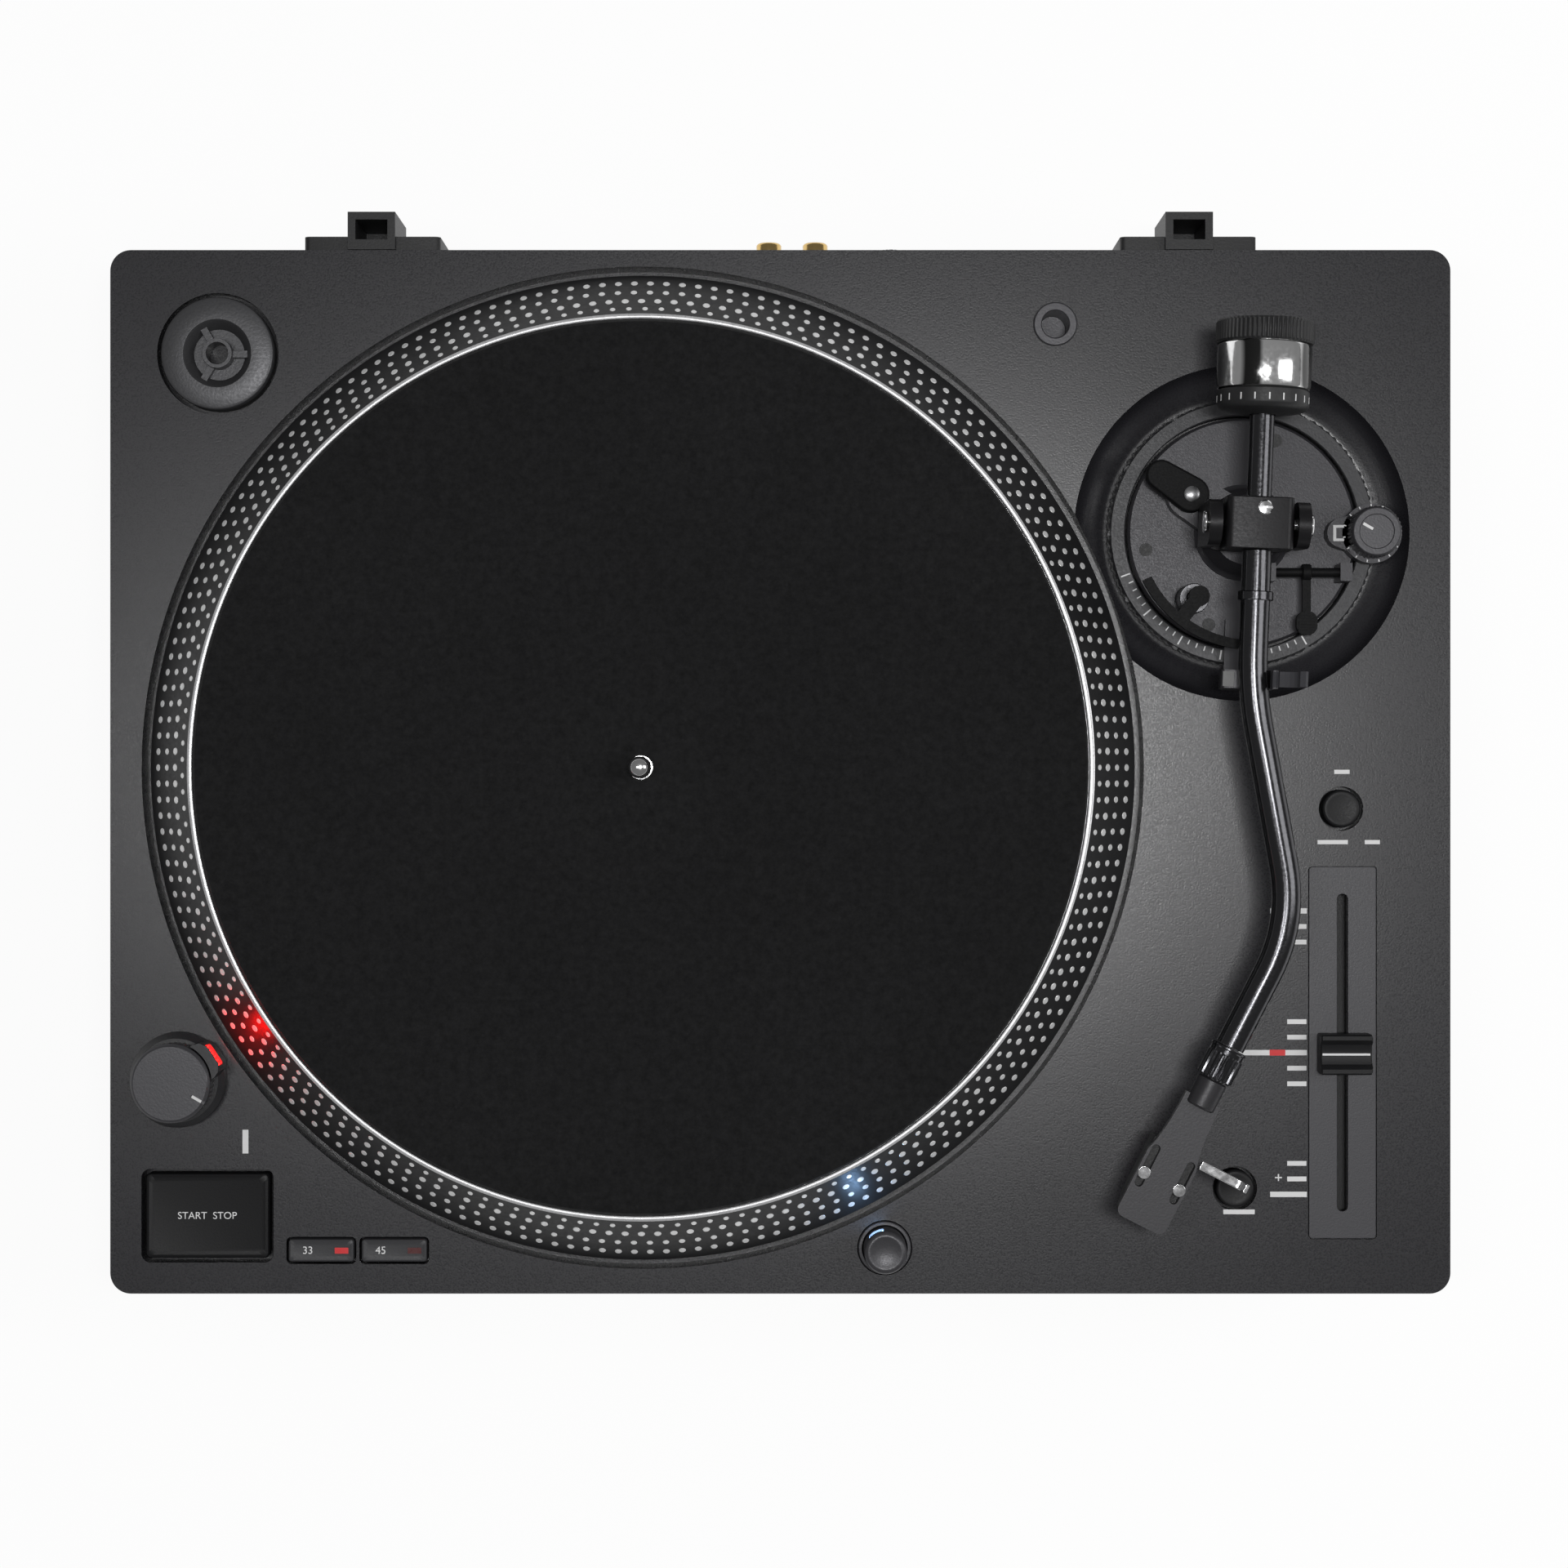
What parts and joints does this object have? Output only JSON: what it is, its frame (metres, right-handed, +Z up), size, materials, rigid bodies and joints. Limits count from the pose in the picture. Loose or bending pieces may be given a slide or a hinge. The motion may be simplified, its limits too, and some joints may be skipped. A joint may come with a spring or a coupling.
{
  "type": "turntable",
  "caption": "Direct-drive record turntable with a felt-covered platter, an S-shaped tonearm with counterweight, a tempo slider and a strobe tower.",
  "frame": {"origin": "middle of the footprint, at the underside of the feet", "axes": "+X to the right, +Y to the rear, +Z up, as seen by someone in front of it"},
  "size_m": [0.452, 0.365, 0.1403],
  "materials": {
    "deck_paint": "satin",
    "arm_base_metal": "satin",
    "base_composite": "matte",
    "foot_rubber": "matte",
    "platter_cast": "satin",
    "felt": "matte",
    "bright_steel": "polished",
    "steel": "satin",
    "arm_tube_metal": "satin",
    "copper_coils": "satin",
    "magnet": "matte",
    "black_plastic": "matte",
    "gloss_black": "gloss",
    "red_lens": "gloss",
    "clear_lens": "gloss",
    "jack_gold": "polished",
    "board": "satin"
  },
  "bodies": {
    "cabinet": {"top_chassis": "deck_paint", "lower_base": "base_composite", "bearing_housing": "steel", "stator": "copper_coils", "strobe_housing": "black_plastic", "strobe_lens": "red_lens", "target_light_collar": "black_plastic", "tempo_panel": "platter_cast", "tempo_track": "steel", "headshell_socket": "black_plastic", "hinge_holder_left": "black_plastic", "hinge_holder_right": "black_plastic", "rear_panel": "steel", "output_jack_left": "jack_gold", "output_jack_right": "jack_gold", "output_switch": "black_plastic", "mains_inlet": "black_plastic", "main_board": "board", "transformer": "steel"},
    "turning_platter": {"platter": "platter_cast", "slipmat": "felt", "spindle": "bright_steel", "rotor_magnet": "magnet"},
    "height_ring": {"height_ring": "gloss_black"},
    "arm_base": {"arm_base": "arm_base_metal", "lift_cylinder": "steel"},
    "gimbal": {"gimbal_yoke": "arm_base_metal", "pivot_screw_right": "bright_steel", "pivot_screw_left": "bright_steel"},
    "tonearm": {"bearing_block": "arm_tube_metal", "arm_tube": "arm_tube_metal", "rear_shaft": "arm_tube_metal"},
    "counterweight": {"counterweight": "bright_steel"},
    "gauge_ring": {"gauge_ring": "black_plastic"},
    "locking_collar": {"locking_collar": "arm_tube_metal"},
    "headshell": {"headshell": "arm_base_metal", "finger_lift": "arm_tube_metal", "cartridge": "gloss_black", "stylus": "black_plastic"},
    "lock_lever": {"height_lock_lever": "black_plastic"},
    "anti_skate": {"anti_skate_dial": "platter_cast"},
    "cue_lever": {"cue_lever": "black_plastic"},
    "lift_bar": {"lift_bar": "black_plastic"},
    "rest_clip": {"rest_clip": "black_plastic"},
    "power_knob": {"power_knob": "black_plastic"},
    "start_stop_button": {"start_stop_button": "black_plastic"},
    "speed_33_button": {"speed_33_button": "black_plastic"},
    "speed_45_button": {"speed_45_button": "black_plastic"},
    "quartz_button": {"quartz_button": "black_plastic"},
    "pitch_range_button": {"pitch_range_button": "black_plastic"},
    "target_light": {"target_light_tube": "platter_cast", "target_light_lens": "clear_lens"},
    "tempo_slider": {"tempo_slider": "black_plastic"},
    "record_adapter": {"record_adapter": "platter_cast"},
    "foot_front_left": {"foot_front_left": "foot_rubber"},
    "foot_front_right": {"foot_front_right": "foot_rubber"},
    "foot_rear_left": {"foot_rear_left": "foot_rubber"},
    "foot_rear_right": {"foot_rear_right": "foot_rubber"},
    "switch_knob": {"switch_knob": "black_plastic"},
    "ground_terminal": {"ground_terminal": "bright_steel"}
  },
  "joints": [
    {"name": "platter_spin", "type": "hinge", "parent": "cabinet", "child": "turning_platter", "pos_m": [-0.0464, -0.0051, 0.09], "axis": [0, 0, 1], "continuous": true},
    {"name": "ring_turn", "type": "hinge", "parent": "cabinet", "child": "height_ring", "pos_m": [0.15564, 0.07408, 0.083], "axis": [0, 0, 1], "range_deg": [0, 180]},
    {"name": "arm_lift", "type": "slide", "parent": "cabinet", "child": "arm_base", "axis": [0, 0, 1], "range_m": [0, 0.006]},
    {"name": "lock_turn", "type": "hinge", "parent": "arm_base", "child": "lock_lever", "pos_m": [0.13719, 0.08606, 0.097], "axis": [0, 0, 1], "range_deg": [0, 40]},
    {"name": "anti_skate_turn", "type": "hinge", "parent": "arm_base", "child": "anti_skate", "pos_m": [0.19813, 0.07334, 0.099], "axis": [0, 0, 1], "range_deg": [0, 270]},
    {"name": "cue_turn", "type": "hinge", "parent": "arm_base", "child": "cue_lever", "pos_m": [0.15564, 0.06008, 0.0971], "axis": [-1, 0, 0], "range_deg": [0, 60]},
    {"name": "lift_rise", "type": "slide", "parent": "arm_base", "child": "lift_bar", "axis": [0, 0, 1], "range_m": [0, 0.004]},
    {"name": "clip_turn", "type": "hinge", "parent": "arm_base", "child": "rest_clip", "pos_m": [0.1603, 0.02336, 0.1273], "axis": [-0.0384, -0.9993, 0], "range_deg": [0, 125]},
    {"name": "arm_swing", "type": "hinge", "parent": "arm_base", "child": "gimbal", "pos_m": [0.15564, 0.07408, 0.1243], "axis": [0, 0, -1], "range_deg": [0, 48]},
    {"name": "arm_pitch", "type": "hinge", "parent": "gimbal", "child": "tonearm", "pos_m": [0.15564, 0.07408, 0.1243], "axis": [-0.9993, 0.0384, 0], "range_deg": [0, 12]},
    {"name": "gauge_turn", "type": "hinge", "parent": "counterweight", "child": "gauge_ring", "pos_m": [0.15564, 0.07408, 0.1243], "axis": [0.0384, 0.9993, 0], "range_deg": [-720, 720]},
    {"name": "weight_travel", "type": "slide", "parent": "tonearm", "child": "counterweight", "axis": [0.0384, 0.9993, 0], "range_m": [-0.006, 0.006]},
    {"name": "collar_turn", "type": "hinge", "parent": "tonearm", "child": "locking_collar", "pos_m": [0.1673, -0.05547, 0.1243], "axis": [-0.4571, -0.8894, 0], "range_deg": [0, 60]},
    {"name": "headshell_pull", "type": "slide", "parent": "tonearm", "child": "headshell", "axis": [-0.4571, -0.8894, 0], "range_m": [0, 0.015]},
    {"name": "power_turn", "type": "hinge", "parent": "cabinet", "child": "power_knob", "pos_m": [-0.2025, -0.11, 0.1], "axis": [0, 0, 1], "range_deg": [0, 45]},
    {"name": "start_press", "type": "slide", "parent": "cabinet", "child": "start_stop_button", "axis": [0, 0, -1], "range_m": [0, 0.0015], "stiffness_N_per_m": 500, "springref_m": -0.002},
    {"name": "speed_33_press", "type": "slide", "parent": "cabinet", "child": "speed_33_button", "axis": [0, 0, -1], "range_m": [0, 0.0012], "stiffness_N_per_m": 400, "springref_m": -0.002},
    {"name": "speed_45_press", "type": "slide", "parent": "cabinet", "child": "speed_45_button", "axis": [0, 0, -1], "range_m": [0, 0.0012], "stiffness_N_per_m": 400, "springref_m": -0.002},
    {"name": "quartz_press", "type": "slide", "parent": "cabinet", "child": "quartz_button", "axis": [0, 0, -1], "range_m": [0, 0.0012], "stiffness_N_per_m": 400, "springref_m": -0.002},
    {"name": "range_press", "type": "slide", "parent": "cabinet", "child": "pitch_range_button", "axis": [0, 0, -1], "range_m": [0, 0.0012], "stiffness_N_per_m": 400, "springref_m": -0.002},
    {"name": "light_press", "type": "slide", "parent": "cabinet", "child": "target_light", "axis": [0, 0, -1], "range_m": [0, 0.012], "stiffness_N_per_m": 60, "springref_m": -0.004},
    {"name": "tempo_slide", "type": "slide", "parent": "cabinet", "child": "tempo_slider", "axis": [0, 1, 0], "range_m": [-0.05, 0.05]},
    {"name": "adapter_lift", "type": "slide", "parent": "cabinet", "child": "record_adapter", "axis": [0, 0, 1], "range_m": [0, 0.025]},
    {"name": "foot_front_left_out", "type": "slide", "parent": "cabinet", "child": "foot_front_left", "axis": [0, 0, -1], "range_m": [0, 0.008]},
    {"name": "foot_front_right_out", "type": "slide", "parent": "cabinet", "child": "foot_front_right", "axis": [0, 0, -1], "range_m": [0, 0.008]},
    {"name": "foot_rear_left_out", "type": "slide", "parent": "cabinet", "child": "foot_rear_left", "axis": [0, 0, -1], "range_m": [0, 0.008]},
    {"name": "foot_rear_right_out", "type": "slide", "parent": "cabinet", "child": "foot_rear_right", "axis": [0, 0, -1], "range_m": [0, 0.008]},
    {"name": "switch_slide", "type": "slide", "parent": "cabinet", "child": "switch_knob", "axis": [1, 0, 0], "range_m": [0, 0.0025]},
    {"name": "ground_turn", "type": "hinge", "parent": "cabinet", "child": "ground_terminal", "pos_m": [0.038, 0.1683, 0.0585], "axis": [0, 1, 0], "range_deg": [0, 720]}
  ],
  "couplings": [
    {"joint": "ring_turn", "follows": "arm_lift", "rad_per_m": 523.59},
    {"joint": "cue_turn", "follows": "lift_rise", "rad_per_m": 261.79},
    {"joint": "gauge_turn", "follows": "weight_travel", "rad_per_m": 2094.4}
  ]
}
